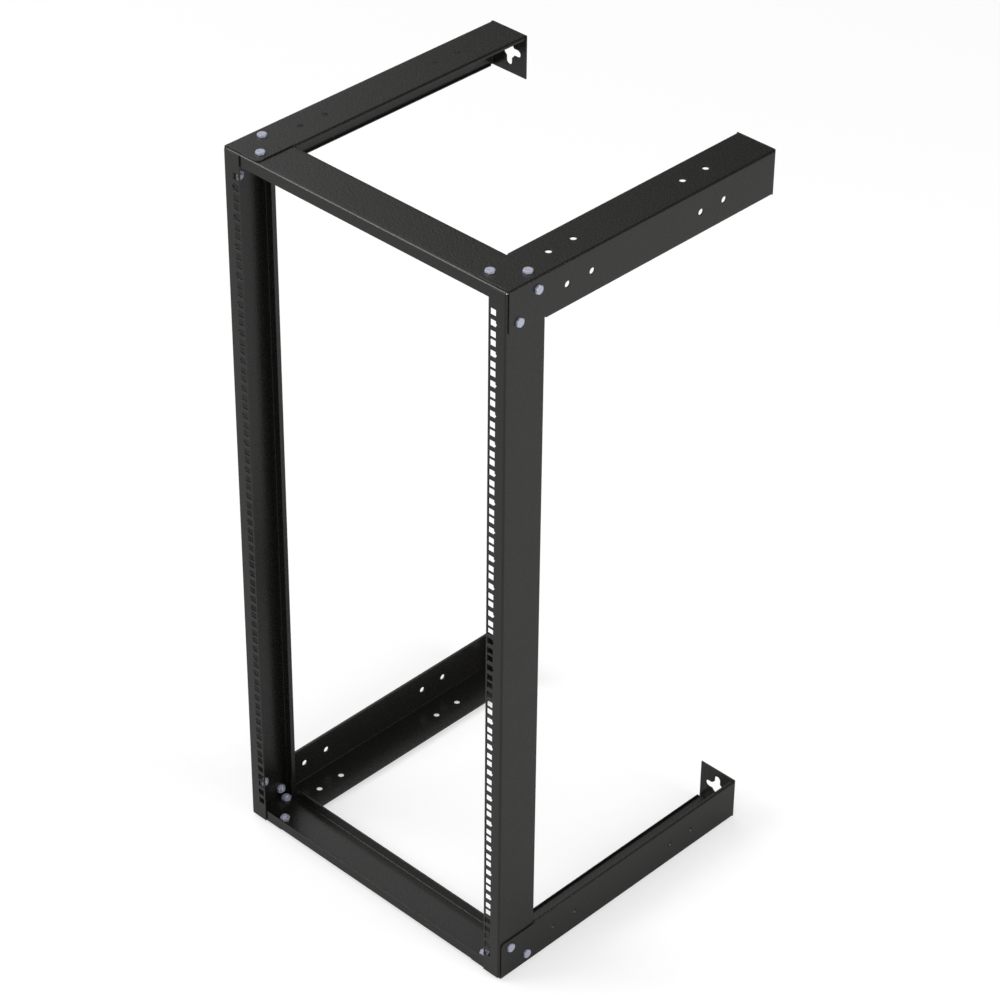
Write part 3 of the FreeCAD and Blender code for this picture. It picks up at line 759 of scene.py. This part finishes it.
def bolt_skin(sizes, count=72):
    """Hexagon bolt along its own axis, from the middle of the head's top to the tip.

    The head's edge is the hexagon, cut by a 30 degree cone: its height is the head's less tan 30 times the
    distance past the cone's start. Its top has a shallow round dish. The plain shank runs on into a helical
    thread with a tapered end.
    """
    angles = around(count)
    level = 0 * angles
    radius = sizes.shank / 2
    hexagon = hexagon_reach(angles, sizes.flats)
    cone = crown_start(sizes.flats)
    crown = sizes.head - CHAMFER_RISE * (hexagon - cone)
    dish = sizes.head - 0.15 * MM
    dish_floor = 0.30 * sizes.flats
    dish_rim = 0.33 * sizes.flats
    seat_edge = 0.25 * MM
    rows = [(level, dish + level),
            (dish_floor + level, dish + level),
            (dish_rim + level, sizes.head + level),
            (cone + level, sizes.head + level),
            (hexagon, crown),
            (hexagon, seat_edge + level),
            (hexagon - seat_edge, level),
            (radius + level, level)]
    plain = 4 * MM
    point = 0.8 * MM
    for along in np.arange(plain, sizes.length + SAME_LINE, sizes.pitch / 8):
        taper = radius - max(0.0, along + point - sizes.length)
        ramp = min(1.0, (along - plain) / sizes.pitch)
        reach = radius + (thread_reach(angles, along, sizes) - radius) * ramp
        rows.append((np.minimum(reach, taper), -along + level))
    rows.append((level, -sizes.length + level))
    return angles, np.array(rows), tube_faces(len(rows), count)


def nut_skin(sizes, count=72):
    """Hexagon nut: a closed ring of rows, up the threaded bore, over the crowned face, down the hexagon."""
    angles = around(count)
    level = 0 * angles
    hexagon = hexagon_reach(angles, sizes.nut_flats)
    cone = crown_start(sizes.nut_flats)
    crown = CHAMFER_RISE * (hexagon - cone)
    countersink = 0.35 * MM
    mouth = sizes.shank / 2 + countersink + level
    rows = []
    for along in np.arange(countersink, sizes.nut - countersink + SAME_LINE, sizes.pitch / 8):
        rows.append((thread_reach(angles, along, sizes, bore=True), along + level))
    rows += [(mouth, sizes.nut + level),
             (cone + level, sizes.nut + level),
             (hexagon, sizes.nut - crown),
             (hexagon, crown),
             (cone + level, level),
             (mouth, level)]
    return angles, np.array(rows), tube_faces(len(rows), count, closed=True)


def fastener_piece(node, skin, spots, axis, outward, seat):
    """Two like fasteners of a node: a skin's own axis goes along X or Z, and its corners along the other."""
    angles, rows, faces = skin
    reach = rows[:, 0, :]
    along = rows[:, 1, :]
    corner = (reach * np.cos(angles)).ravel()
    flat = (reach * np.sin(angles)).ravel() * outward * (1 if axis == 2 else -1)
    every = []
    polygons = []
    for place, depth in spots:
        points = np.empty((corner.size, 3))
        points[:, axis] = seat + outward * along.ravel()
        points[:, 2 - axis] = place + corner
        points[:, 1] = depth + flat
        polygons += (faces + len(every) * corner.size).tolist()
        every.append(points)
    name = node + "_turned"
    mesh = bpy.data.meshes.new(name)
    mesh.from_pydata(np.concatenate(every).tolist(), [], polygons)
    shape = bmesh.new()
    shape.from_mesh(mesh)
    bmesh.ops.remove_doubles(shape, verts=shape.verts, dist=WELD)
    bmesh.ops.dissolve_degenerate(shape, edges=shape.edges, dist=WELD / 2)
    bmesh.ops.recalc_face_normals(shape, faces=shape.faces)
    shape.to_mesh(mesh)
    shape.free()
    mesh.shade_smooth()
    mesh.materials.append(shared("bright_zinc", zinc_plate))
    piece = bpy.data.objects.new(name, mesh)
    bpy.context.scene.collection.objects.link(piece)
    bevel = piece.modifiers.new("Edge", "BEVEL")
    bevel.width = bpy.context.scene.rack_fasteners.edge
    bevel.segments = 2
    bevel.limit_method = "ANGLE"
    bevel.angle_limit = math.radians(28)
    piece.modifiers.new("Flats", "WEIGHTED_NORMAL").keep_sharp = True
    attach(piece, "root")
    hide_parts(node)
    return piece


def fasten(kind, skin):
    """Places bolts or nuts at every corner of the rack."""
    sizes = bpy.context.scene.rack_fasteners
    for level, side in CORNERS:
        for joint, axis in (("crossbar", 2), ("post", 0)):
            bolts = "%s_%s_%s_bolts" % (level, side, joint)
            node = "%s_%s_%s_%s" % (level, side, joint, kind)
            low, high = node_box(node)
            positive = level == "upper" if axis == 2 else side == "right"
            outward = 1 if positive else -1
            if kind == "bolts":
                seat = (high if positive else low)[axis] - outward * sizes.head
            else:
                seat = (low if positive else high)[axis]
            fastener_piece(node, skin, bolt_spots(bolts, axis), axis, outward, seat)


def view_turn(stage):
    """The camera's turn: level towards +Y, down by the elevation, round by the azimuth, and a small roll."""
    return (Matrix.Rotation(stage.azimuth, 4, "Z") @ Matrix.Rotation(QUARTER - stage.elevation, 4, "X")
            @ Matrix.Rotation(stage.roll, 4, "Z"))


def add_camera(stage):
    """The photo's view: the focal length in widths of the image times the sensor's width in millimetres."""
    sensor = 36
    lens = bpy.data.cameras.new("camera")
    lens.sensor_width = sensor
    lens.lens = sensor * stage.focal
    lens.clip_end = 100
    camera = bpy.data.objects.new("camera", lens)
    camera.matrix_world = Matrix.Translation(Vector(stage.eye)) @ view_turn(stage)
    bpy.context.scene.collection.objects.link(camera)
    bpy.context.scene.camera = camera


def add_softbox(name, direction, distance, size, power):
    """A square white area light that looks at the rack's middle from a direction."""
    low, high = CAD_BOX
    middle = (Vector(low) + Vector(high)) / 2
    light = bpy.data.lights.new(name, "AREA")
    light.shape = "RECTANGLE"
    light.size = size
    light.size_y = size
    light.energy = power
    lamp = bpy.data.objects.new(name, light)
    away = Vector(direction).normalized()
    lamp.matrix_world = (Matrix.Translation(middle + away * distance)
                         @ away.to_track_quat("Z", "Y").to_matrix().to_4x4())
    bpy.context.scene.collection.objects.link(lamp)


def floor_paint(stage):
    """Pale matt floor that is seen near white where it is lit and keeps the rack's shadow."""
    material = bpy.data.materials.new("pale_floor")
    graph = Graph(material)
    seen = graph.node("ShaderNodeLightPath").out("Is Camera Ray")
    plain = graph.node("ShaderNodeBsdfPrincipled", {}, {"Base Color": opaque(stage.floor_colour),
                                                        "Roughness": 1.0, "Specular IOR Level": 0.0})
    glow = graph.node("ShaderNodeBsdfPrincipled", {}, {"Base Color": opaque(stage.floor_colour),
                                                       "Roughness": 1.0, "Specular IOR Level": 0.0,
                                                       "Emission Color": (1.0, 1.0, 1.0, 1.0),
                                                       "Emission Strength": stage.floor_glow})
    mixed = graph.node("ShaderNodeMixShader", {}, {0: seen, 1: plain.out(0), 2: glow.out(0)})
    graph.node("ShaderNodeOutputMaterial", {}, {"Surface": mixed.out(0)})
    return material


def add_floor(stage):
    """A level square far wider than the view, at the rack's lowest point."""
    reach = np.linspace(-stage.floor_size / 2, stage.floor_size / 2, 3)
    x, y = np.meshgrid(reach, reach, indexing="ij")
    z = np.full(x.shape, CAD_BOX[0][2])
    first = np.array([0, 1, 3, 4])
    faces = np.stack([first, first + 3, first + 4, first + 1], axis=1)
    mesh = bpy.data.meshes.new("floor")
    mesh.from_pydata(np.stack([x.ravel(), y.ravel(), z.ravel()], axis=1).tolist(), [], faces.tolist())
    mesh.materials.append(floor_paint(stage))
    floor = bpy.data.objects.new("floor", mesh)
    bpy.context.scene.collection.objects.link(floor)


def add_sky(stage):
    """Even light that dims towards the dark side of the studio, and is seen white."""
    world = bpy.data.worlds.new("studio")
    bpy.context.scene.world = world
    graph = Graph(world)
    towards = graph.node("ShaderNodeTexCoord").out("Generated")
    dark = Vector(stage.dark_side).normalized()
    facing = graph.node("ShaderNodeVectorMath", {"operation": "DOT_PRODUCT"},
                        {0: towards, 1: tuple(dark)}).out("Value")
    shade = graph.node("ShaderNodeMapRange", {"interpolation_type": "SMOOTHSTEP"},
                       {"Value": facing, "From Min": stage.dark_from, "From Max": stage.dark_to}).out(0)
    wallward = graph.node("ShaderNodeSeparateXYZ", {}, {0: towards}).out("Y")
    wall = graph.node("ShaderNodeMapRange", {}, {"Value": wallward, "From Min": stage.wall_from,
                                                 "From Max": stage.wall_to}).out(0)
    light = (1 - shade * (1 - stage.dark_level)) * (1 - wall * (1 - stage.wall_level))
    colour = graph.node("ShaderNodeMix", {"data_type": "RGBA"},
                        {"Factor": light, 6: (0.0, 0.0, 0.0, 1.0), 7: (1.0, 1.0, 1.0, 1.0)}).out(2)
    even = graph.node("ShaderNodeBackground", {}, {"Color": colour, "Strength": stage.sky})
    white = graph.node("ShaderNodeBackground", {}, {"Color": (1.0, 1.0, 1.0, 1.0), "Strength": 1.0})
    seen = graph.node("ShaderNodeLightPath").out("Is Camera Ray")
    mixed = graph.node("ShaderNodeMixShader", {}, {0: seen, 1: even.out(0), 2: white.out(0)})
    graph.node("ShaderNodeOutputWorld", {}, {"Surface": mixed.out(0)})


class RackOperator:
    """What the rack's operators share."""
    bl_options = {"REGISTER", "UNDO"}


class RACK_OT_posts(RackOperator, bpy.types.Operator):
    """Adds both posts with their square hole columns"""
    bl_idname = "rack.posts"
    bl_label = "Posts"

    def execute(self, context):
        for side in (-1, 1):
            build_post(context.scene.rack_sheet, side)
        return {"FINISHED"}


class RACK_OT_crossbars(RackOperator, bpy.types.Operator):
    """Adds the top and bottom crossbars"""
    bl_idname = "rack.crossbars"
    bl_label = "Crossbars"

    def execute(self, context):
        for level in (-1, 1):
            build_crossbar(context.scene.rack_sheet, level)
        return {"FINISHED"}


class RACK_OT_arms(RackOperator, bpy.types.Operator):
    """Adds the four arms with their wall tabs"""
    bl_idname = "rack.arms"
    bl_label = "Arms"

    def execute(self, context):
        for level in (-1, 1):
            for side in (-1, 1):
                build_arm(context.scene.rack_sheet, side, level)
        return {"FINISHED"}


class RACK_OT_bolts(RackOperator, bpy.types.Operator):
    """Adds the hexagon bolts of every corner"""
    bl_idname = "rack.bolts"
    bl_label = "Bolts"

    def execute(self, context):
        fasten("bolts", bolt_skin(context.scene.rack_fasteners))
        return {"FINISHED"}


class RACK_OT_nuts(RackOperator, bpy.types.Operator):
    """Adds the hexagon nuts of every corner"""
    bl_idname = "rack.nuts"
    bl_label = "Nuts"

    def execute(self, context):
        fasten("nuts", nut_skin(context.scene.rack_fasteners))
        return {"FINISHED"}


class RACK_OT_stage(RackOperator, bpy.types.Operator):
    """Adds the floor, the lights and the camera"""
    bl_idname = "rack.stage"
    bl_label = "Stage"

    def execute(self, context):
        stage = context.scene.rack_stage
        add_floor(stage)
        add_sky(stage)
        add_softbox("key", stage.key_direction, stage.key_distance, stage.key_size, stage.key_power)
        add_softbox("fill", stage.fill_direction, stage.fill_distance, stage.fill_size, stage.fill_power)
        add_camera(stage)
        context.scene.view_settings.view_transform = "Standard"
        return {"FINISHED"}


OPERATORS = (RACK_OT_posts, RACK_OT_crossbars, RACK_OT_arms, RACK_OT_bolts, RACK_OT_nuts, RACK_OT_stage)
GROUPS = {"rack_sheet": RackSheet, "rack_fasteners": RackFasteners, "rack_finish": RackFinish,
          "rack_stage": RackStage}


class RACK_PT_parts(bpy.types.Panel):
    """Lists the rack's parts and their sizes"""
    bl_label = "Open Frame Rack"
    bl_idname = "RACK_PT_parts"
    bl_space_type = "VIEW_3D"
    bl_region_type = "UI"
    bl_category = "Rack"

    def draw(self, context):
        layout = self.layout
        for operator in OPERATORS:
            layout.operator(operator.bl_idname)
        for name, group in GROUPS.items():
            box = layout.box()
            for key in group.__annotations__:
                box.prop(getattr(context.scene, name), key)


def register():
    for name, group in GROUPS.items():
        bpy.utils.register_class(group)
        setattr(bpy.types.Scene, name, bpy.props.PointerProperty(type=group))
    for operator in OPERATORS:
        bpy.utils.register_class(operator)
    bpy.utils.register_class(RACK_PT_parts)


def unregister():
    bpy.utils.unregister_class(RACK_PT_parts)
    for operator in reversed(OPERATORS):
        bpy.utils.unregister_class(operator)
    for name, group in reversed(GROUPS.items()):
        delattr(bpy.types.Scene, name)
        bpy.utils.unregister_class(group)


def main():
    register()
    bpy.ops.rack.posts()
    bpy.ops.rack.crossbars()
    bpy.ops.rack.arms()
    bpy.ops.rack.bolts()
    bpy.ops.rack.nuts()
    bpy.ops.rack.stage()


if __name__ == "__main__":
    main()
